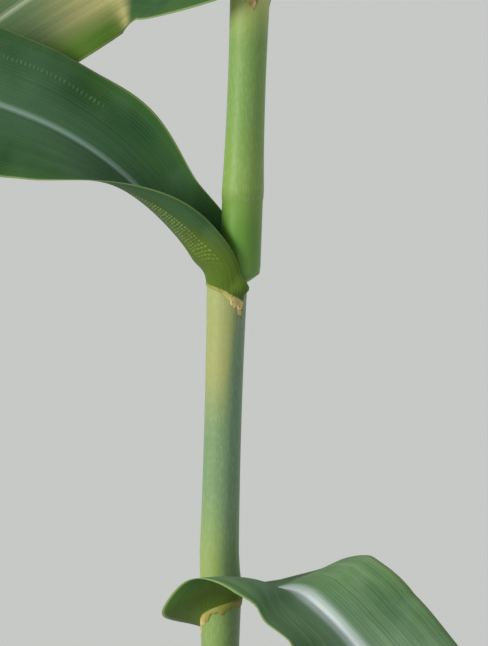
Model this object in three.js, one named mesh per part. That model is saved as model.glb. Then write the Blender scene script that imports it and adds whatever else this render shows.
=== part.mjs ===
// A sweet sorghum plant, rooted, in its leafy stage. Millimetres, +Z up.
// The origin is the centre of the flat cut under the stalk at ground level.
// Seen from the front (-Y), +X is to the right.
import * as THREE from "three";

// Stalk
const STALK_RADIUS = 10.3; // slimmest place of a sheath, at half height
const CORE_RATIO = 0.86; // bare culm inside a sheath, to the stalk radius
const BARE_RATIO = 1.08; // bare culm between two sheaths, to the stalk radius
const NODE_RATIO = 1.1; // swelling of a node, to the stalk radius
const FOOT_FLARE = 3.0; // extra radius of the foot at the ground
const FOOT_FLARE_HEIGHT = 30;
const LEAN = 2.0e-5; // sideways lean, grows with the square of the height
const KINK_SPAN = 26; // height over which the stalk steps away from a leaf
const BARE_KINK_SPAN = 7; // the same for the culm where it is left bare for longer than that
const STALK_SIDES = 16;
const CLEARANCE = 0.3; // gap between parts that touch

// Radius along the height, to the stalk radius: [height, ratio]
const TAPER = [[0, 1.2], [300, 1.08], [640, 1.0], [970, 1.0], [1300, 0.86], [1540, 0.68], [1680, 0.42]];

// Leaves
const BLADE_EDGE = 1.5; // thickness of a blade at its margins
const KEEL_COLLAR = 3; // thickness at the midrib beside the collar
const KEEL_FULL = 0.0105; // where it is thickest, to the leaf's length
const KEEL_TIP = 0.0045; // and near the tip
const SEAT = 0.65; // from the sheath's true circle to the blade's upper face, at the collar
const BLADE_CLEARANCE = 1.3; // and above the collar
const SEAT_HEIGHT = 12;
const TIP_WIDTH = 2.5;
const RIPPLE = 3.0; // wave of the margins
const RIPPLE_LENGTH = 95;
const EAR_START = 22; // length over which an ear swells
const BEND_AHEAD = 6; // a blade gives way to the culm's bend from this far below it
const EAR_SHARPNESS = 2; // power by which an ear grows towards the margin

// Each leaf, from the ground up.
// collar: height of its collar; az: the side it stands on, in degrees from +X; bare: culm left bare above it
// path: stations of the midrib, [distance, rise, heading, roll], angles in degrees
// cut: distance at which the blade is split, at its bend; fold: V of the blade along its midrib
// The pairs are [right half, left half], seen from the stalk to the tip
// open: length over which the rolled base opens flat
// wrap: how far it reaches round the stalk; drop: how far its margin sits under the midrib at the collar
// sag: power by which it drops; wave: phase of the margins' ripple
// climb: how steeply the margin goes up the stalk; blend: where it leaves the stalk
// ear: bulge of the margin beside the collar; neck: width at the base, to the full width
const DEFAULTS = {
  bare: 12, kink: 2, open: [110, 110], fold: 16, wrap: [160, 160], drop: [7, 7],
  climb: [0.9, 0.9], blend: [70, 70], ear: [4, 4], earLength: 55, neck: [0.7, 0.7], cut: 0, wave: [2.6, 0.5],
  sag: 1.3,
};
const LEAVES = [
  { collar: 100, az: -28, length: 300, width: 38, bare: 6, open: [60, 60], blend: [40, 40],
    path: [[0, 50, -28, 0], [80, 20, -30, 0], [300, -50, -38, 8]] },
  { collar: 205, az: 155, length: 450, width: 54, bare: 8, open: [80, 80], blend: [50, 50], cut: 210,
    path: [[0, 52, 155, 0], [110, 25, 158, 0], [250, -20, 160, 6], [450, -66, 165, 10]] },
  { collar: 330, az: -30, length: 580, width: 68, bare: 10, open: [90, 90], blend: [60, 60], cut: 230,
    path: [[0, 54, -30, 0], [100, 28, -20, 0], [260, -22, -10, -6], [580, -76, -4, -14]] },
  { collar: 475, az: 158, length: 660, width: 80, bare: 9, open: [90, 90], blend: [60, 60], cut: 230,
    path: [[0, 44, 158, 0], [70, 16, 156, 0], [170, -10, 154, 6], [350, -52, 150, 12], [660, -80, 148, 18]] },
  { collar: 636, az: -25, length: 640, width: 96, bare: 2, kink: 2, cut: 130,
    open: [70, 15], fold: 13, wrap: [200, 140], drop: [22, 12], sag: 2, climb: [0.75, 0], blend: [51, 23],
    ear: [26, 7], earLength: 59, neck: [0.7, 0.85], wave: [2.1, 2.8],
    path: [[0, 28, -12, 0], [18, 21, -30, -17], [32, 8, -48, 0], [50, -14, -56, 13], [85, -31, -47, 7],
      [150, -44, -51, 19], [380, -64, -57, 14], [640, -82, -60, 0]] },
  { collar: 814, az: 172, length: 750, width: 91, bare: 49, kink: 7, cut: 320,
    open: [120, 123], fold: 7.5, wrap: [130, 152], drop: [8, 10], sag: 2.2, climb: [0.96, 1.35], blend: [43, 25],
    ear: [2, 7], neck: [0.54, 0.66], wave: [1.7, 0.6],
    path: [[0, 70, 166, 0], [33, 52, 176, -22], [63, 45, 175, -30], [138, 22, 182, -51],
      [288, 0, 170, -42], [538, -55, 168, 0], [750, -75, 165, 0]] },
  { collar: 981, az: 129, length: 740, width: 95, bare: 16, cut: 200,
    open: [60, 50], fold: 4, wrap: [130, 165], drop: [5, 8], sag: 0.85, climb: [0.6, 0.2], blend: [60, 56],
    ear: [4, 7], neck: [0.7, 0.6], wave: [2.6, -0.9],
    path: [[0, 18, 116, 0], [30, 2, 146, -85], [60, 15, 157, -85], [100, -27, 170, -85],
      [160, -35, 171, -75], [300, -56, 164, -46], [740, -85, 158, 0]] },
  { collar: 1128, az: -35, length: 780, width: 92, bare: 30, cut: 360,
    path: [[0, 70, -35, 0], [80, 58, -33, 0], [220, 34, -30, 0], [400, -12, -26, 10], [600, -55, -22, 20],
      [780, -74, -20, 25]] },
  { collar: 1278, az: 160, length: 750, width: 86, bare: 22, cut: 360,
    path: [[0, 74, 160, 0], [90, 62, 162, 0], [240, 40, 165, 0], [420, -4, 170, -10], [600, -48, 174, -20],
      [750, -70, 176, -25]] },
  { collar: 1412, az: -14, length: 690, width: 76, bare: 16, cut: 380,
    path: [[0, 77, -14, 0], [110, 68, -12, 0], [280, 48, -10, 0], [450, 6, -6, 12], [600, -38, -2, 20],
      [690, -56, 0, 24]] },
  { collar: 1528, az: 172, length: 600, width: 64, bare: 10, open: [150, 150], kink: 1, cut: 330,
    path: [[0, 80, 172, 0], [150, 72, 174, 0], [320, 52, 178, 0], [480, 12, 184, -10], [600, -22, 188, -15]] },
  { collar: 1606, az: 6, length: 480, width: 50, bare: 6, open: [90, 90], kink: 0.5, neck: [0.6, 0.6], blend: [36, 36],
    path: [[0, 74, 6, 0], [60, 82, 5, 0], [180, 78, 2, 0], [330, 60, -4, 0], [480, 22, -10, 10]] },
  { collar: 1662, az: -174, length: 370, width: 34, bare: 0, open: [80, 80], kink: 0, neck: [0.6, 0.6], blend: [36, 36],
    path: [[0, 78, -174, 0], [60, 85, -176, 0], [200, 81, -178, 0], [370, 56, -184, 0]] },
].map((leaf) => ({ ...DEFAULTS, ...leaf }));

// The rolled youngest leaf
const SPINDLE_LENGTH = 330;
const SPINDLE_RINGS = 8;
const SPINDLE_RADIUS = 2.9;

const rad = THREE.MathUtils.degToRad;
const clamp = THREE.MathUtils.clamp;
const lerp = THREE.MathUtils.lerp;

function smooth(x) {
  const t = clamp(x, 0, 1);
  return t * t * (3 - 2 * t);
}

// Value at x of column c in a list of stations sorted by their first column
function along(stations, x, c) {
  let i = 1;
  while (i < stations.length - 1 && stations[i][0] < x) i += 1;
  const a = stations[i - 1];
  const b = stations[i];
  return lerp(a[c], b[c], clamp((x - a[0]) / (b[0] - a[0]), 0, 1));
}

function axis(z, ofCulm = false) {
  let x = LEAN * z * z;
  let y = 0;
  for (const leaf of LEAVES) {
    const span = ofCulm && leaf.bare > KINK_SPAN ? BARE_KINK_SPAN : KINK_SPAN;
    const k = leaf.kink * smooth((z - leaf.collar) / span);
    x -= k * Math.cos(rad(leaf.az));
    y -= k * Math.sin(rad(leaf.az));
  }
  return new THREE.Vector2(x, y);
}

function stalkRadius(z) {
  return STALK_RADIUS * along(TAPER, z, 1);
}

// The node under leaf i, where its sheath starts
function nodeHeight(i) {
  return i === 0 ? 34 : LEAVES[i - 1].collar + LEAVES[i - 1].bare;
}

function sheathRadius(i, z) {
  const low = nodeHeight(i);
  const f = (z - low) / (LEAVES[i].collar - low);
  return stalkRadius(z) * (1 + 0.1 * (2 * f - 1.1) ** 2);
}

function sheathHeights(i) {
  const low = nodeHeight(i);
  const top = LEAVES[i].collar;
  return [low, (low + top) / 2, top];
}

// A turned body along the leaning axis: rings are [z, radius]
function ringBody(rings, sides, ofCulm = false) {
  const points = [];
  const faces = [];
  for (const [z, radius] of rings) {
    const c = axis(z, ofCulm);
    for (let k = 0; k < sides; k += 1) {
      const a = (2 * Math.PI * k) / sides;
      points.push(c.x + radius * Math.cos(a), c.y + radius * Math.sin(a), z);
    }
  }
  for (let i = 0; i + 1 < rings.length; i += 1) {
    for (let k = 0; k < sides; k += 1) {
      const a = i * sides + k;
      const b = i * sides + ((k + 1) % sides);
      faces.push(a, b, b + sides, a, b + sides, a + sides);
    }
  }
  return { points, faces };
}

function toMesh({ points, faces }, name) {
  const geometry = new THREE.BufferGeometry();
  geometry.setAttribute("position", new THREE.Float32BufferAttribute(points, 3));
  geometry.setIndex(faces);
  geometry.computeVertexNormals();
  const mesh = new THREE.Mesh(geometry, new THREE.MeshStandardMaterial({ color: 0x7da45c }));
  mesh.name = name;
  return mesh;
}

function closeEnds(body, rings, sides) {
  const { points, faces } = body;
  for (const [ring, turn] of [[0, -1], [rings.length - 1, 1]]) {
    const z = rings[ring][0];
    const c = axis(z);
    const centre = points.length / 3;
    points.push(c.x, c.y, z);
    for (let k = 0; k < sides; k += 1) {
      const a = ring * sides + k;
      const b = ring * sides + ((k + 1) % sides);
      if (turn > 0) faces.push(centre, a, b);
      else faces.push(centre, b, a);
    }
  }
  return body;
}

function culm() {
  const rings = [[0, stalkRadius(0) + FOOT_FLARE], [10, stalkRadius(10) + 0.6 * FOOT_FLARE],
    [FOOT_FLARE_HEIGHT, stalkRadius(30) * NODE_RATIO]];
  LEAVES.forEach((leaf, i) => {
    const low = nodeHeight(i);
    const ledge = low - CLEARANCE;
    const core = (z) => stalkRadius(z) * CORE_RATIO;
    if (i === 0 || LEAVES[i - 1].bare >= 6) {
      rings.push([ledge, stalkRadius(ledge) * NODE_RATIO]);
      rings.push([ledge, core(ledge)]);
    }
    rings.push([leaf.collar, core(leaf.collar)]);
    if (leaf.bare >= 6) {
      const next = leaf.collar + leaf.bare;
      rings.push([leaf.collar + 2, stalkRadius(leaf.collar) * BARE_RATIO]);
      if (leaf.bare > KINK_SPAN) rings.push([leaf.collar + 5, stalkRadius(leaf.collar) * BARE_RATIO]);
      if (leaf.bare > 13) rings.push([leaf.collar + 12, stalkRadius(leaf.collar + 12) * BARE_RATIO]);
      if (leaf.bare > 26) rings.push([leaf.collar + KINK_SPAN, stalkRadius(next) * BARE_RATIO]);
      rings.push([next - 2.5, stalkRadius(next) * NODE_RATIO]);
    }
  });
  return toMesh(closeEnds(ringBody(rings, STALK_SIDES, true), rings, STALK_SIDES), "culm");
}

function sheath(i) {
  const heights = sheathHeights(i);
  const outer = heights.map((z) => [z, sheathRadius(i, z)]);
  const inner = [heights[2], heights[0]].map((z) => [z, stalkRadius(z) * CORE_RATIO + CLEARANCE]);
  const rings = [...outer, ...inner];
  const body = ringBody(rings, STALK_SIDES);
  const last = (rings.length - 1) * STALK_SIDES;
  for (let k = 0; k < STALK_SIDES; k += 1) {
    const next = (k + 1) % STALK_SIDES;
    body.faces.push(last + k, last + next, next, last + k, next, k);
  }
  return toMesh(body, `leaf_${i + 1}_sheath`);
}

// The midrib as points, forward directions and headings, from the collar to the tip
function midrib(leaf, i) {
  const steps = 300;
  const step = leaf.length / steps;
  const r0 = sheathRadius(i, leaf.collar) + SEAT;
  const c = axis(leaf.collar);
  const points = [new THREE.Vector3(
    c.x + r0 * Math.cos(rad(leaf.az)), c.y + r0 * Math.sin(rad(leaf.az)), leaf.collar)];
  for (let n = 0; n < steps; n += 1) {
    const s = (n + 0.5) * step;
    points.push(points[n].clone().addScaledVector(forward(leaf, s), step));
  }
  return { points, step, r0 };
}

function forward(leaf, s) {
  const rise = rad(along(leaf.path, s, 1));
  const heading = rad(along(leaf.path, s, 2));
  return new THREE.Vector3(
    Math.cos(rise) * Math.cos(heading), Math.cos(rise) * Math.sin(heading), Math.sin(rise));
}

// How far the stalk reaches from a blade's axis, at a height and in a direction. A long bare culm
// bends at once, where the axis of the sheaths and blades bends slowly.
function girth(z, angle) {
  let i = LEAVES.findIndex((leaf) => z <= leaf.collar + 0.5);
  if (i < 0) i = LEAVES.length - 1;
  const round = sheathRadius(i, clamp(z, nodeHeight(i), LEAVES[i].collar));
  const r = stalkRadius(z) * NODE_RATIO;
  const bend = axis(z + BEND_AHEAD, true).sub(axis(z));
  const ahead = bend.x * Math.cos(angle) + bend.y * Math.sin(angle);
  const aside = bend.x * Math.sin(angle) - bend.y * Math.cos(angle);
  return Math.max(round, r, ahead + Math.sqrt(Math.max(r * r - aside * aside, 0)));
}

// A point of the upper face: s along the midrib, u from -1 (right margin) to 1 (left margin)
function bladePoint(leaf, rib, s, u) {
  const side = u < 0 ? 0 : 1;
  const reach = Math.abs(u);
  const f = s / leaf.length;
  const n = Math.min(s / rib.step, rib.points.length - 1.001);
  const k = Math.floor(n);
  const p = rib.points[k].clone().lerp(rib.points[k + 1], n - k);
  const t = forward(leaf, s);
  const heading = rad(along(leaf.path, s, 2));
  const roll = rad(along(leaf.path, s, 3));
  const flat = new THREE.Vector3(-Math.sin(heading), Math.cos(heading), 0);
  const up = t.clone().cross(flat);
  const across = flat.clone().multiplyScalar(Math.cos(roll)).addScaledVector(up, Math.sin(roll));
  const normal = up.clone().multiplyScalar(Math.cos(roll)).addScaledVector(flat, -Math.sin(roll));

  const neck = lerp(leaf.neck[side], 1, smooth(f / 0.2));
  const half = (leaf.width / 2) * neck * (1 - f ** 2.6) + TIP_WIDTH / 2;
  const opened = smooth(s / leaf.open[side]);
  const curl = Math.max((1 - opened) / rib.r0, 1e-6);
  const fold = rad(leaf.fold) * opened * (1 - 0.6 * f);
  const arc = reach * half;
  const out = (Math.sin(fold + curl * arc) - Math.sin(fold)) / curl;
  const lift = (Math.cos(fold) - Math.cos(fold + curl * arc)) / curl;
  const wave = RIPPLE * reach ** 3 * smooth(s / 90) * (1 - f ** 3)
    * Math.sin((2 * Math.PI * s) / RIPPLE_LENGTH + leaf.wave[side]);
  const free = p.addScaledVector(across, out * Math.sign(u)).addScaledVector(normal, lift + wave);

  // Held by the stalk: straight up its surface, at the angle it wraps to
  const ear = leaf.ear[side] * reach ** EAR_SHARPNESS * smooth(s / EAR_START);
  const bulge = ear * (1 - smooth((s - EAR_START) / (leaf.earLength - EAR_START)));
  const climb = (s - 0.8 * ear) * lerp(1, leaf.climb[side], reach);
  const z = leaf.collar - leaf.drop[side] * reach ** leaf.sag + climb;
  const gap = lerp(SEAT, BLADE_CLEARANCE, smooth(s / SEAT_HEIGHT));
  const held = { turn: rad(leaf.wrap[side]) * u, radius: rib.r0 - SEAT + gap + bulge, z };

  // From held to free, round the axis
  const freed = smooth(s / (leaf.blend[side] * (0.55 + 0.6 * reach)));
  const c = axis(free.z);
  let turn = Math.atan2(free.y - c.y, free.x - c.x) - rad(leaf.az);
  turn = Math.atan2(Math.sin(turn), Math.cos(turn));
  if (turn * u < 0 && Math.abs(turn) > Math.PI / 2) turn += 2 * Math.PI * Math.sign(u);
  const angle = rad(leaf.az) + lerp(held.turn, turn, freed);
  const height = lerp(held.z, free.z, freed);
  const away = lerp(held.radius, Math.hypot(free.x - c.x, free.y - c.y), freed);
  const radius = Math.max(away, s > 0 ? girth(height, angle) + gap : 0);
  const centre = axis(height);
  return new THREE.Vector3(
    centre.x + radius * Math.cos(angle), centre.y + radius * Math.sin(angle), height);
}

function bladeThickness(leaf, s, u) {
  const f = s / leaf.length;
  const full = leaf.length * lerp(KEEL_FULL, KEEL_TIP, smooth((f - 0.3) / 0.6));
  const keel = Math.max(BLADE_EDGE, lerp(KEEL_COLLAR, full, smooth(f / 0.2)));
  return BLADE_EDGE + (keel - BLADE_EDGE) * (1 - Math.abs(u)) ** 1.6;
}

// A closed solid of the blade between two distances along its midrib
function blade(leaf, i, from, to, rows, columns, power, name) {
  const rib = midrib(leaf, i);
  const upper = [];
  const lower = [];
  const d = 0.5;
  for (let r = 0; r <= rows; r += 1) {
    const s = from + (to - from) * (r / rows) ** power;
    const s0 = Math.max(0, s - d);
    const s1 = Math.min(leaf.length - 0.01, s + d);
    for (let c = 0; c <= columns; c += 1) {
      const u = (2 * c) / columns - 1;
      const p = bladePoint(leaf, rib, s, u);
      const ds = bladePoint(leaf, rib, s1, u).sub(bladePoint(leaf, rib, s0, u));
      const du = bladePoint(leaf, rib, s, Math.min(1, u + 0.05)).sub(bladePoint(leaf, rib, s, Math.max(-1, u - 0.05)));
      const normal = ds.cross(du).normalize();
      upper.push(p);
      lower.push(p.clone().addScaledVector(normal, -bladeThickness(leaf, s, u)));
    }
  }
  const points = [...upper, ...lower].flatMap((p) => [p.x, p.y, p.z]);
  const faces = [];
  const wide = columns + 1;
  const half = upper.length;
  const quad = (a, b, c, e) => faces.push(a, b, c, a, c, e);
  for (let r = 0; r < rows; r += 1) {
    for (let c = 0; c < columns; c += 1) {
      const a = r * wide + c;
      quad(a, a + wide, a + wide + 1, a + 1);
      quad(half + a, half + a + 1, half + a + wide + 1, half + a + wide);
    }
    const left = r * wide;
    quad(left, half + left, half + left + wide, left + wide);
    const right = left + columns;
    quad(right, right + wide, half + right + wide, half + right);
  }
  for (let c = 0; c < columns; c += 1) {
    quad(c, c + 1, half + c + 1, half + c);
    const a = rows * wide + c;
    quad(a, half + a, half + a + 1, a + 1);
  }
  return toMesh({ points, faces }, name);
}

function spindle() {
  const low = LEAVES[LEAVES.length - 1].collar + CLEARANCE;
  const rings = [];
  for (let i = 0; i <= SPINDLE_RINGS; i += 1) {
    const f = i / SPINDLE_RINGS;
    rings.push([low + f * SPINDLE_LENGTH, SPINDLE_RADIUS * (1 - f) ** 0.8 + 0.7]);
  }
  return toMesh(closeEnds(ringBody(rings, 10), rings, 10), "rolled_leaf");
}

const plant = new THREE.Group();
plant.name = "sweet_sorghum_plant";
plant.add(culm());
LEAVES.forEach((leaf, i) => {
  plant.add(sheath(i));
  const name = `leaf_${i + 1}_blade`;
  if (leaf.cut) {
    plant.add(blade(leaf, i, 0, leaf.cut, 9, 12, 1.8, `${name}_base`));
    plant.add(blade(leaf, i, leaf.cut + 0.5, leaf.length, 9, 6, 1, `${name}_tip`));
  } else {
    plant.add(blade(leaf, i, 0, leaf.length, 11, 12, 1.8, name));
  }
});
plant.add(spindle());

export default plant;
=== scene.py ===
# %% [markdown]
# # A sweet sorghum plant, piece by piece
# This lesson dresses a packed plant of solids. A sorghum plant is one jointed stalk. At every joint
# a sheath starts, wraps the stalk like a rolled sleeve, and opens at its collar into a long arching
# blade. The solids give each of these its place. We load them first and then cover them one kind at
# a time with finer pieces.

# %% Load the solids
import math

import bpy
import numpy as np
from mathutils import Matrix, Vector


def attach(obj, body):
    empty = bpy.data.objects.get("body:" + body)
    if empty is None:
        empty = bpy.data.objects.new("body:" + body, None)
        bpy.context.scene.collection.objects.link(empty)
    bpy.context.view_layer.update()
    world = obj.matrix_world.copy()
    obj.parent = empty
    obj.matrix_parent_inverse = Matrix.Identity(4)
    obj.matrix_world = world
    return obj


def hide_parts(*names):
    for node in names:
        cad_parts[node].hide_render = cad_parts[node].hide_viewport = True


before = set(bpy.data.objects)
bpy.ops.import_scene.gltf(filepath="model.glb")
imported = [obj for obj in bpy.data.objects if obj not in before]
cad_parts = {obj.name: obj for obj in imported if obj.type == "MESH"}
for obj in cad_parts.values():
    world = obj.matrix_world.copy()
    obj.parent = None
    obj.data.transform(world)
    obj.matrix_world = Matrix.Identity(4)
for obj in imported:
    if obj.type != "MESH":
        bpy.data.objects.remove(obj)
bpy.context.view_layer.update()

# %% [markdown]
# ## Where the camera stands
# The picture this plant is made after is a close upright view of the middle of the stalk, looking
# slightly down. A long lens far away and a short one close by give the same crop, but not the same
# slant of leaves that come forward. Half a metre of leaf looked natural from 1.5 m, so we stand
# there. The frame is upright, so the sensor width belongs to the long side.

# %% Set the camera
MM = 0.001
IMAGE_HEIGHT = 646
MM_PER_PIXEL = 0.55
CAMERA_DISTANCE = 1500.0
CAMERA_PITCH = math.radians(10.0)
LOOK_AT = (20.9, 0.0, 792.35)
SENSOR_WIDTH = 36


def add_object(name, data):
    """Puts a new object with this data into the scene."""
    thing = bpy.data.objects.new(name, data)
    bpy.context.scene.collection.objects.link(thing)
    return thing


camera = add_object("camera", bpy.data.cameras.new("camera"))
camera.location = (LOOK_AT[0] * MM, (LOOK_AT[1] - CAMERA_DISTANCE * math.cos(CAMERA_PITCH)) * MM,
                   (LOOK_AT[2] + CAMERA_DISTANCE * math.sin(CAMERA_PITCH)) * MM)
camera.rotation_euler = (math.pi / 2 - CAMERA_PITCH, 0, 0)
camera.data.sensor_width = SENSOR_WIDTH
camera.data.lens = SENSOR_WIDTH * CAMERA_DISTANCE / (MM_PER_PIXEL * IMAGE_HEIGHT)
bpy.context.scene.camera = camera
print("lens:", round(camera.data.lens, 1), "mm")

# %% [markdown]
# ## Floor and light
# A plain pale floor and soft daylight from the left. The sky could be a picture, but an even pale
# world with one wide sun gives the same soft modelling, bright on the left of the stalk and darker on
# the right. The sun's angle sets how soft its shadows are.

# %% Make the floor and the lights
SUN_FROM = (-0.76, -0.46, 0.28)


def paint(red, green, blue):
    """A colour as it is seen on a screen, 0 to 255, as Blender's linear colour."""
    def linear(value):
        value = value / 255
        return value / 12.92 if value <= 0.04045 else ((value + 0.055) / 1.055) ** 2.4
    return (linear(red), linear(green), linear(blue), 1.0)


def deselect():
    if bpy.context.object and bpy.context.object.mode != "OBJECT":
        bpy.ops.object.mode_set(mode="OBJECT")
    bpy.ops.object.select_all(action="DESELECT")


deselect()
bpy.ops.mesh.primitive_circle_add(vertices=64, radius=60, fill_type="NGON", location=(0, 0, -0.0005))
floor = bpy.context.object
floor.name = "floor"
floor_paint = bpy.data.materials.new("floor paint")
floor_paint.use_nodes = True
floor_shader = floor_paint.node_tree.nodes["Principled BSDF"]
floor_shader.inputs["Base Color"].default_value = paint(236, 236, 233)
floor_shader.inputs["Roughness"].default_value = 0.9
floor.data.materials.append(floor_paint)

sun = add_object("sun", bpy.data.lights.new("sun", "SUN"))
sun.data.energy = 3.0
sun.data.angle = math.radians(28)
sun.data.color = (1.0, 0.97, 0.91)
sun.rotation_euler = Vector(SUN_FROM).to_track_quat("Z", "Y").to_euler()

world = bpy.data.worlds.new("pale sky")
world.use_nodes = True
sky = world.node_tree.nodes["Background"]
sky.inputs["Color"].default_value = (0.92, 0.97, 1.0, 1)
sky.inputs["Strength"].default_value = 0.43
bpy.context.scene.world = world
bpy.context.scene.view_settings.view_transform = "Standard"
print("sun from the left, energy", sun.data.energy)

# %% [markdown]
# ## The rule of growth
# Every sheath and blade of the real plant repeats one plan at another size, and the solids were made
# that way too: one table with a line for each leaf, and a rule that turns a line into a shape. We
# write the same rule again here, in millimetres, so that the fine pieces land exactly on the solids.
# `collar` is the height where the blade opens, `az` the side it goes to, `path` its midrib's rise,
# heading and roll along its length. `bare` is the naked stalk above the collar and `kink` how far the
# stalk steps aside there. Pairs are for the blade's right half and its left half: how far it wraps
# round the stalk, how its base line drops and climbs, and how soon it opens and lets go.

# %% The table of leaves
DEFAULTS = dict(bare=12, kink=2, open=(110, 110), fold=16, wrap=(160, 160), drop=(7, 7),
                climb=(0.9, 0.9), blend=(70, 70), ear=(4, 4), ear_length=55, neck=(0.7, 0.7),
                wave=(2.6, 0.5), sag=1.3)
LEAVES = [DEFAULTS | leaf for leaf in (
    dict(collar=100, az=-28, length=300, width=38, bare=6, open=(60, 60), blend=(40, 40),
         path=[(0, 50, -28, 0), (80, 20, -30, 0), (300, -50, -38, 8)]),
    dict(collar=205, az=155, length=450, width=54, bare=8, open=(80, 80), blend=(50, 50),
         path=[(0, 52, 155, 0), (110, 25, 158, 0), (250, -20, 160, 6), (450, -66, 165, 10)]),
    dict(collar=330, az=-30, length=580, width=68, bare=10, open=(90, 90), blend=(60, 60),
         path=[(0, 54, -30, 0), (100, 28, -20, 0), (260, -22, -10, -6), (580, -76, -4, -14)]),
    dict(collar=475, az=158, length=660, width=80, bare=9, open=(90, 90), blend=(60, 60),
         path=[(0, 44, 158, 0), (70, 16, 156, 0), (170, -10, 154, 6), (350, -52, 150, 12),
               (660, -80, 148, 18)]),
    dict(collar=636, az=-25, length=640, width=96, bare=2, open=(70, 15), fold=13, wrap=(200, 140),
         drop=(22, 12), sag=2, climb=(0.75, 0), blend=(51, 23), ear=(26, 7), ear_length=59,
         neck=(0.7, 0.85), wave=(2.1, 2.8),
         path=[(0, 28, -12, 0), (18, 21, -30, -17), (32, 8, -48, 0), (50, -14, -56, 13),
               (85, -31, -47, 7), (150, -44, -51, 19), (380, -64, -57, 14), (640, -82, -60, 0)]),
    dict(collar=814, az=172, length=750, width=91, bare=49, kink=7, open=(120, 123), fold=7.5,
         wrap=(130, 152), drop=(8, 10), sag=2.2, climb=(0.96, 1.35), blend=(43, 25), ear=(2, 7),
         neck=(0.54, 0.66), wave=(1.7, 0.6),
         path=[(0, 70, 166, 0), (33, 52, 176, -22), (63, 45, 175, -30), (138, 22, 182, -51),
               (288, 0, 170, -42), (538, -55, 168, 0), (750, -75, 165, 0)]),
    dict(collar=981, az=129, length=740, width=95, bare=16, open=(60, 50), fold=4, wrap=(130, 165),
         drop=(5, 8), sag=0.85, climb=(0.6, 0.2), blend=(60, 56), ear=(4, 7), neck=(0.7, 0.6),
         wave=(2.6, -0.9),
         path=[(0, 18, 116, 0), (30, 2, 146, -85), (60, 15, 157, -85), (100, -27, 170, -85),
               (160, -35, 171, -75), (300, -56, 164, -46), (740, -85, 158, 0)]),
    dict(collar=1128, az=-35, length=780, width=92, bare=30,
         path=[(0, 70, -35, 0), (80, 58, -33, 0), (220, 34, -30, 0), (400, -12, -26, 10),
               (600, -55, -22, 20), (780, -74, -20, 25)]),
    dict(collar=1278, az=160, length=750, width=86, bare=22,
         path=[(0, 74, 160, 0), (90, 62, 162, 0), (240, 40, 165, 0), (420, -4, 170, -10),
               (600, -48, 174, -20), (750, -70, 176, -25)]),
    dict(collar=1412, az=-14, length=690, width=76, bare=16,
         path=[(0, 77, -14, 0), (110, 68, -12, 0), (280, 48, -10, 0), (450, 6, -6, 12),
               (600, -38, -2, 20), (690, -56, 0, 24)]),
    dict(collar=1528, az=172, length=600, width=64, bare=10, open=(150, 150), kink=1,
         path=[(0, 80, 172, 0), (150, 72, 174, 0), (320, 52, 178, 0), (480, 12, 184, -10),
               (600, -22, 188, -15)]),
    dict(collar=1606, az=6, length=480, width=50, bare=6, open=(90, 90), kink=0.5, neck=(0.6, 0.6),
         blend=(36, 36),
         path=[(0, 74, 6, 0), (60, 82, 5, 0), (180, 78, 2, 0), (330, 60, -4, 0), (480, 22, -10, 10)]),
    dict(collar=1662, az=-174, length=370, width=34, bare=0, open=(80, 80), kink=0, neck=(0.6, 0.6),
         blend=(36, 36),
         path=[(0, 78, -174, 0), (60, 85, -176, 0), (200, 81, -178, 0), (370, 56, -184, 0)]),
)]
print("leaves:", len(LEAVES))

# %% [markdown]
# The stalk leans a little, tapers upwards, and steps away from each leaf just above its collar. These
# small functions answer where its middle is at a height and how thick it is there. They take whole
# arrays of heights, which numpy works through at once.

# %% The stalk's line and thickness
STALK_RADIUS, CORE_RATIO, BARE_RATIO, NODE_RATIO = 10.3, 0.86, 1.08, 1.1
LEAN, KINK_SPAN, BARE_KINK_SPAN = 2.0e-5, 26.0, 7.0
TAPER = np.array([(0, 1.2), (300, 1.08), (640, 1.0), (970, 1.0), (1300, 0.86), (1540, 0.68),
                  (1680, 0.42)])
NODES = [34.0] + [leaf["collar"] + leaf["bare"] for leaf in LEAVES[:-1]]
COLLARS = [float(leaf["collar"]) for leaf in LEAVES]


def smooth(x):
    x = np.clip(x, 0.0, 1.0)
    return x * x * (3 - 2 * x)


def axis(z, of_culm=False):
    """The middle of the plant at height z. A long bare culm steps aside faster than what wraps it."""
    z = np.asarray(z, float)
    x, y = LEAN * z * z, 0.0 * z
    for leaf in LEAVES:
        span = BARE_KINK_SPAN if of_culm and leaf["bare"] > KINK_SPAN else KINK_SPAN
        step = leaf["kink"] * smooth((z - leaf["collar"]) / span)
        x = x - step * math.cos(math.radians(leaf["az"]))
        y = y - step * math.sin(math.radians(leaf["az"]))
    return x, y


def stalk_radius(z):
    return STALK_RADIUS * np.interp(z, TAPER[:, 0], TAPER[:, 1])


def sheath_radius(z):
    """The sheath's outer radius, waisted between its node and its collar."""
    z = np.asarray(z, float)
    i = np.clip(np.searchsorted(np.array(COLLARS) + 0.5, z), 0, len(LEAVES) - 1)
    low, top = np.array(NODES)[i], np.array(COLLARS)[i]
    z = np.clip(z, low, top)
    return stalk_radius(z) * (1 + 0.1 * (2 * (z - low) / (top - low) - 1.1) ** 2)


print("stalk at the big leaf:", [round(float(v), 2) for v in axis(805)], "radius", stalk_radius(805))

# %% [markdown]
# ## Colours of the plant, and painted light
# A leaf isn't one green. Wax makes it bluish, light from behind makes it yellow, veins run its whole
# length. Some of the bluish is a painted reflection of the sky, some of the yellow is painted light
# shining through, and painted light also brightens a shaded collar. Nodes can mix such a finish from
# patterns that read either the place in space or the piece's own map. A few short helpers add the
# nodes, always to the material that was started last. The first ones start a material, plug a number
# or another node into a socket, and finish it.

# %% Start and finish a material
tree = None


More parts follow.
